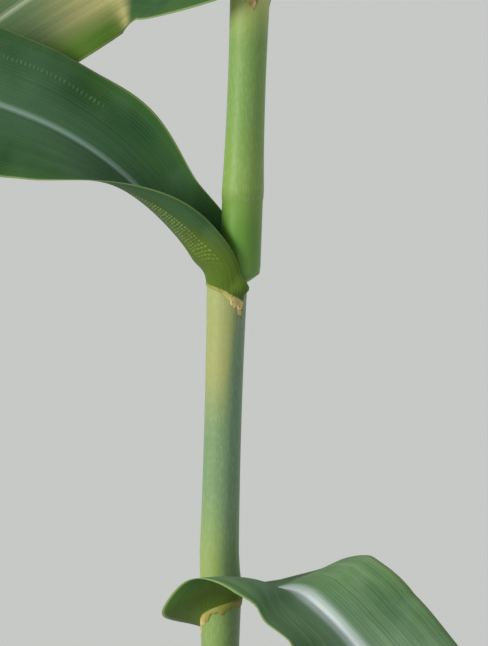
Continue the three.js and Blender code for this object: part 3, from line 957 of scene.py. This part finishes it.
def free_strip(leaf, s, u, r0):
    """The blade as it would hang free of the stalk, and its half width."""
    path, flat, up = midrib_path(leaf, s, r0)
    share, reach, S = s / leaf["length"], np.abs(u)[None, :], s[:, None]
    neck = pair(leaf, "neck", u) + (1 - pair(leaf, "neck", u)) * smooth(share / NECK_SHARE)[:, None]
    half = leaf["width"] / 2 * neck * (1 - share ** 2.6)[:, None] + TIP_WIDTH / 2
    # rolled as tightly as the stalk at first, then open and folded a little along the midrib
    opened = smooth(S / pair(leaf, "open", u))
    curl = np.maximum((1 - opened) / r0, 1e-6)
    fold = math.radians(leaf["fold"]) * opened * (1 - 0.6 * share)[:, None]
    arc = reach * half
    out = (np.sin(fold + curl * arc) - np.sin(fold)) / curl
    lift = (np.cos(fold) - np.cos(fold + curl * arc)) / curl
    swing = np.sin(2 * math.pi * S / RIPPLE_LENGTH + pair(leaf, "wave", u))
    lift = lift + RIPPLE * reach ** 3 * (smooth(s / RIPPLE_START) * (1 - share ** 3))[:, None] * swing
    sideways, upwards = (out * np.sign(u))[..., None] * flat[:, None], lift[..., None] * up[:, None]
    return path[:, None] + sideways + upwards, half


widest = max(range(len(LEAVES)), key=lambda i: LEAVES[i]["width"])
print("the widest leaf is number", widest + 1, "with", LEAVES[widest]["width"], "mm")

# %% [markdown]
# Near the collar the blade is held round the stalk instead. There each point has a turn, a height and
# a distance from the stalk's middle, and the margins bulge to an ear. Sliding these three from the
# held place to the free one takes the strip off the stalk without passing through it.

# %% The upper face
SEAT, CLEARANCE, SEAT_HEIGHT = 0.65, 1.3, 12.0
EAR_START, EAR_TURNED_DOWN = 22.0, 0.8


def upper_face(leaf, s, u):
    """Points of the upper face, for distances s along the midrib and shares u of the half width."""
    collar, az = leaf["collar"], math.radians(leaf["az"])
    r0 = float(sheath_radius(collar)) + SEAT
    free, half = free_strip(leaf, s, u, r0)
    reach, S = np.abs(u)[None, :], s[:, None]

    # held round the stalk, in turn, radius and height
    ear = pair(leaf, "ear", u) * reach ** 2 * smooth(S / EAR_START)
    bulge = ear * (1 - smooth((S - EAR_START) / (leaf["ear_length"] - EAR_START)))
    gap = SEAT + (CLEARANCE - SEAT) * smooth(S / SEAT_HEIGHT)
    held_turn = np.radians(pair(leaf, "wrap", u)) * u[None, :]
    held_radius = r0 - SEAT + gap + bulge
    held_z = (collar - pair(leaf, "drop", u) * reach ** leaf["sag"]
              + (S - EAR_TURNED_DOWN * ear) * (1 + (pair(leaf, "climb", u) - 1) * reach))

    # from held to free, the margins last
    freed = smooth(S / (pair(leaf, "blend", u) * (0.55 + 0.6 * reach)))
    cx, cy = axis(free[..., 2])
    fx, fy = free[..., 0] - cx, free[..., 1] - cy
    free_turn = np.arctan2(fy, fx) - az
    free_turn = np.arctan2(np.sin(free_turn), np.cos(free_turn))
    wrong = (free_turn * u[None, :] < 0) & (np.abs(free_turn) > math.pi / 2)
    free_turn = np.where(wrong, free_turn + 2 * math.pi * np.sign(u), free_turn)
    turn = az + held_turn + (free_turn - held_turn) * freed
    z = held_z + (free[..., 2] - held_z) * freed
    radius = held_radius + (np.hypot(fx, fy) - held_radius) * freed
    radius = np.maximum(radius, np.where(S > 0, girth(z, turn) + gap, 0))
    cx, cy = axis(z)
    return np.stack([cx + radius * np.cos(turn), cy + radius * np.sin(turn), z], -1), half


tip = upper_face(LEAVES[5], np.array([0.0, LEAVES[5]["length"]]), np.array([0.0]))[0][-1, 0]
print("the big leaf's tip is at", tip.round())

# %% [markdown]
# The real blade is a third of a millimetre thick with a keel of three or four. It grows out of its
# sheath, where the solid keeps a hair's breadth off, so the first rows are drawn in until they meet
# the sheath. The upper face has a shallow channel over the midrib.

# %% Both faces of a blade
LAMINA, EDGE, EDGE_SHARE = 0.5, 0.3, 0.12
KEEL, KEEL_WIDTH, KEEL_START = 2.6, 3.6, 90.0
CHANNEL, CHANNEL_WIDTH, CHANNEL_START = 0.7, 2.2, 30.0
TUCK, TUCK_LENGTH = 0.25, 7.0


def unit(v):
    return v / np.maximum(np.linalg.norm(v, axis=-1, keepdims=True), 1e-12)


def both_faces(leaf, s, u):
    """Grids of points for the finished upper and lower face, and the distance from the midrib."""
    top, half = upper_face(leaf, s, u)
    share, across = (s / leaf["length"])[:, None], u[None, :] * half
    normal = unit(np.cross(np.gradient(top, axis=0), np.gradient(top, axis=1)))
    # the first rows lean into the sheath
    cx, cy = axis(top[..., 2])
    inward = unit(np.stack([cx - top[..., 0], cy - top[..., 1], 0 * cx], -1))
    top = top + inward * (1 - smooth(s / TUCK_LENGTH))[:, None, None] * (SEAT + TUCK)
    # the channel above and the keel below both narrow towards the tip
    narrow = 0.25 + 0.75 * (1 - share) ** 0.7
    channel = np.exp(-(across / (CHANNEL_WIDTH * narrow)) ** 2) * smooth(s / CHANNEL_START)[:, None]
    top = top - normal * (CHANNEL * narrow * channel)[..., None]
    keel = np.exp(-(across / (KEEL_WIDTH * narrow)) ** 2) * smooth(s / KEEL_START)[:, None]
    inner = smooth((1 - np.abs(u)) / EDGE_SHARE)[None, :]
    thick = EDGE + (LAMINA - EDGE) * inner + KEEL * narrow * keel
    thick = thick * (0.25 + 0.75 * smooth(s / 4.0))[:, None]
    return top, top - normal * thick[..., None], across


print("a blade is", LAMINA, "mm thick, and", LAMINA + KEEL, "mm at its keel")

# %% [markdown]
# Now the grids become meshes. Rows are close together at the collar, where the shape changes fast,
# and further apart towards the tip. A border of faces joins the two grids, so that the blade is
# closed. Both maps are laid on straight from the grid.

# %% Build the blades
HALF_COLUMNS, ROW_SPACING, ROW_CROWDING = 28, 2.9, 1.35
BLADE_SKIN = (["fresh", "deep", "deep", "deep", "fresh", "deep", "painted_glare", "deep", "deep"]
              + 2 * ["fresh"] + 2 * ["young"])


def sheet_faces(n, m):
    """Four-sided faces for an upper grid of n by m points, a lower one, and the border between."""
    a = (np.arange(n - 1)[:, None] * m + np.arange(m - 1)).ravel()
    upper = np.stack([a, a + m, a + m + 1, a + 1], 1)
    lower = np.stack([a, a + 1, a + m + 1, a + m], 1) + n * m
    ring = np.concatenate([np.arange(m - 1), np.arange(n - 1) * m + m - 1,
                           (n - 1) * m + np.arange(m - 1, 0, -1), np.arange(n - 1, 0, -1) * m])
    nxt = np.roll(ring, -1)
    return upper, lower, np.stack([ring, nxt, nxt + n * m, ring + n * m], 1)


def add_blade(i):
    leaf = LEAVES[i]
    s = leaf["length"] * np.linspace(0, 1, int(leaf["length"] / ROW_SPACING) + 1) ** ROW_CROWDING
    v = np.linspace(-1, 1, 2 * HALF_COLUMNS + 1)
    u = np.sign(v) * (0.7 * np.abs(v) + 0.3 * v * v)
    top, low, across = both_faces(leaf, s, u)
    parts = sheet_faces(*across.shape)
    faces = np.concatenate(parts)
    mesh = bpy.data.meshes.new(f"blade_{i + 1}")
    mesh.vertices.add(2 * across.size)
    mesh.vertices.foreach_set("co", np.concatenate([top, low]).ravel() * MM)
    mesh.loops.add(faces.size)
    mesh.loops.foreach_set("vertex_index", faces.ravel())
    mesh.polygons.add(len(faces))
    mesh.polygons.foreach_set("loop_start", np.arange(0, faces.size, 4))
    mesh.polygons.foreach_set("loop_total", np.full(len(faces), 4))
    mesh.update(calc_edges=True)
    mesh.validate()
    corner = faces.ravel() % across.size
    along, side = 0 * across + s[:, None], 0 * across + u
    for name, x, y in ((RULE, across * MM, along * MM), (SHARE, side, along / leaf["length"])):
        layer = mesh.uv_layers.new(name=name)
        layer.data.foreach_set("uv", np.stack([x.ravel()[corner], y.ravel()[corner]], 1).ravel())
    for material in FACES[BLADE_SKIN[i]]:
        mesh.materials.append(material)
    mesh.polygons.foreach_set("material_index", np.repeat([0, 1, 1], [len(part) for part in parts]))
    mesh.polygons.foreach_set("use_smooth", np.ones(len(faces), bool))
    return add_object(f"blade_{i + 1}", mesh)


blades = []
for i in range(len(LEAVES)):
    blade = add_blade(i)
    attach(blade, "root")
    own = [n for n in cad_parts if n.startswith(f"leaf_{i + 1}_blade")]
    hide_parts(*own)
    blades.append(blade)
print("blades:", len(blades), "triangles:", 2 * sum(len(b.data.polygons) for b in blades))

# %% [markdown]
# ## The collars
# Where a blade meets its sheath there is a thin skin, cream to golden and soon dry at its corners,
# where it hangs down as a ragged brown-spotted triangle with a browned edge. Its finish reads one
# map: how far round it is, and how far down.

# %% Mix the collar's finish
def collar_material():
    material, shader = start_material("collar skin", 0.3)
    side, down, _ = own_map(SHARE)
    where, reach = place(), size_of(side)
    corner = ease(reach, 0.5, 0.74)
    cloud = speckle(where, 240, 3)
    colour = mix(corner, paint(136, 144, 62), paint(214, 194, 132))
    colour = lay(colour, paint(160, 158, 80), ease(cloud, 0.4, 0.7), 0.45)
    spots = ease(speckle(where, 620, 2), 0.56, 0.64)
    colour = mix(times(spots, ramp(corner, 0.55, 0.3)), colour, paint(138, 86, 44))
    # the torn edge dries to brown in places, and most at the corner's tip
    frayed = times(ease(down, 0.6, 0.95), ease(speckle(where, 330, 2), 0.47, 0.6))
    colour = lay(colour, paint(150, 92, 52), frayed, 0.6)
    tip = times(ease(reach, 0.93, 0.99), ease(down, 0.5, 0.95))
    colour = lay(colour, paint(96, 62, 36), tip, 0.85)
    finish_material(shader, colour, 0.6, cloud, 0.0004)
    return material


COLLAR_SKIN = collar_material()
print("collar finish:", COLLAR_SKIN.name)

# %% [markdown]
# The skin is a band with a closed cross-section that follows the blade's own base line round the
# stalk. It could be an extruded tube cut open, but its lower edge is ragged, so this is mesh code
# too: the cross-section is set down at many places, and stretched to how far the skin hangs there. A
# few added waves make that edge look torn, without anything random.

# %% Build the collars
SECTION = [(-0.5, 1.3), (0.25, 1.3), (0.7, 0.4), (0.75, -0.25), (0.55, -0.7), (0.2, -1.0),
           (-0.5, -1.0)]
FULL_SIZE = 91
COLLAR_POINTS = 121
BROAD_COLLAR = 4


def hanging(i, u, size):
    """How far the skin hangs down, in millimetres: a band, longer and torn at the corners."""
    reach = np.abs(u)
    band = (3.2 + 1.1 * np.sin(23 * u + 2) + 0.6 * np.sin(57 * u)) if i == BROAD_COLLAR else 0.7
    torn = 1 + 0.2 * np.sin(37 * u + i) + 0.14 * np.sin(83 * u + 2 * i) + 0.08 * np.sin(171 * u)
    hang = size * (band + 7.0 * smooth((reach - 0.42) / 0.58) ** 1.2 * torn)
    return hang * (1 - 0.7 * smooth((reach - 0.985) / 0.015))


def add_collar(i):
    leaf = LEAVES[i]
    size, u = leaf["width"] / FULL_SIZE, np.linspace(-1, 1, COLLAR_POINTS)
    line = leaf["collar"] - pair(leaf, "drop", u)[0] * np.abs(u) ** leaf["sag"]
    turn = math.radians(leaf["az"]) + np.radians(pair(leaf, "wrap", u)[0] * u)
    points, maps = [], []
    for out, down in SECTION:
        z = line + (down * size if down > 0 else down * hanging(i, u, size))
        cx, cy = axis(z)
        r = sheath_radius(np.minimum(z, leaf["collar"])) + out * (0.5 + 0.5 * size if out > 0 else 1.0)
        points.append(np.stack([cx + r * np.cos(turn), cy + r * np.sin(turn), z], 1))
        maps.append(np.stack([u, np.full(len(u), (1.3 - down) / 2.3)], 1))
    points, maps = np.stack(points, 1), np.stack(maps, 1)
    n, m = points.shape[:2]
    a = np.arange(n - 1)[:, None] * m + np.arange(m)
    b = np.arange(n - 1)[:, None] * m + (np.arange(m) + 1) % m
    faces = np.stack([a, b, b + m, a + m], -1).reshape(-1, 4).tolist()
    faces += [list(range(m))[::-1], [(n - 1) * m + k for k in range(m)]]
    mesh = bpy.data.meshes.new(f"collar_{i + 1}")
    mesh.from_pydata((points.reshape(-1, 3) * MM).tolist(), [], faces)
    corners = read(mesh.loops, "vertex_index")
    mesh.uv_layers.new(name=SHARE).data.foreach_set("uv", maps.reshape(-1, 2)[corners].ravel())
    mesh.materials.append(COLLAR_SKIN)
    collar = add_object(f"collar_{i + 1}", mesh)
    deselect()
    bpy.context.view_layer.objects.active = collar
    collar.select_set(True)
    bpy.ops.object.mode_set(mode="EDIT")
    face_outwards(60)
    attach(collar, "root")
    return collar


collars = [add_collar(i) for i in range(len(LEAVES))]
print("collars:", len(collars))

# %% [markdown]
# ## The rolled leaf
# The newest leaf stands in the middle, still rolled. It is a long spindle, raised like the stalk,
# with the free margin of the roll as a small step that winds round it.

# %% Raise the rolled leaf
SPINDLE_BASE, SPINDLE_LENGTH = 1662.3, 330.0
SPINDLE_RADIUS, SPINDLE_TIP = 2.9, 0.5
SPINDLE_STEP, SPINDLE_TWIST = 0.16, 2.7
shares = [float(share) for share in np.linspace(0, 1, 46)]
rings = [(SPINDLE_BASE + SPINDLE_LENGTH * share, SPINDLE_RADIUS * (1 - share) ** 0.8 + SPINDLE_TIP)
         for share in shares]
spindle = raise_tube("rolled_young_leaf", rings, 32, step=SPINDLE_STEP, span=2 * math.pi,
                     seam=lambda z: -SPINDLE_TWIST * (z - SPINDLE_BASE) / SPINDLE_LENGTH)
close_tube(spindle, SHEATHS["young"], 30)
map_skin(spindle, lambda z: (z - SPINDLE_BASE) / SPINDLE_LENGTH, lambda turn, z: 0.4 + 0 * z)
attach(spindle, "root")
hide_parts("rolled_leaf")
print("rolled leaf faces:", len(spindle.data.polygons))
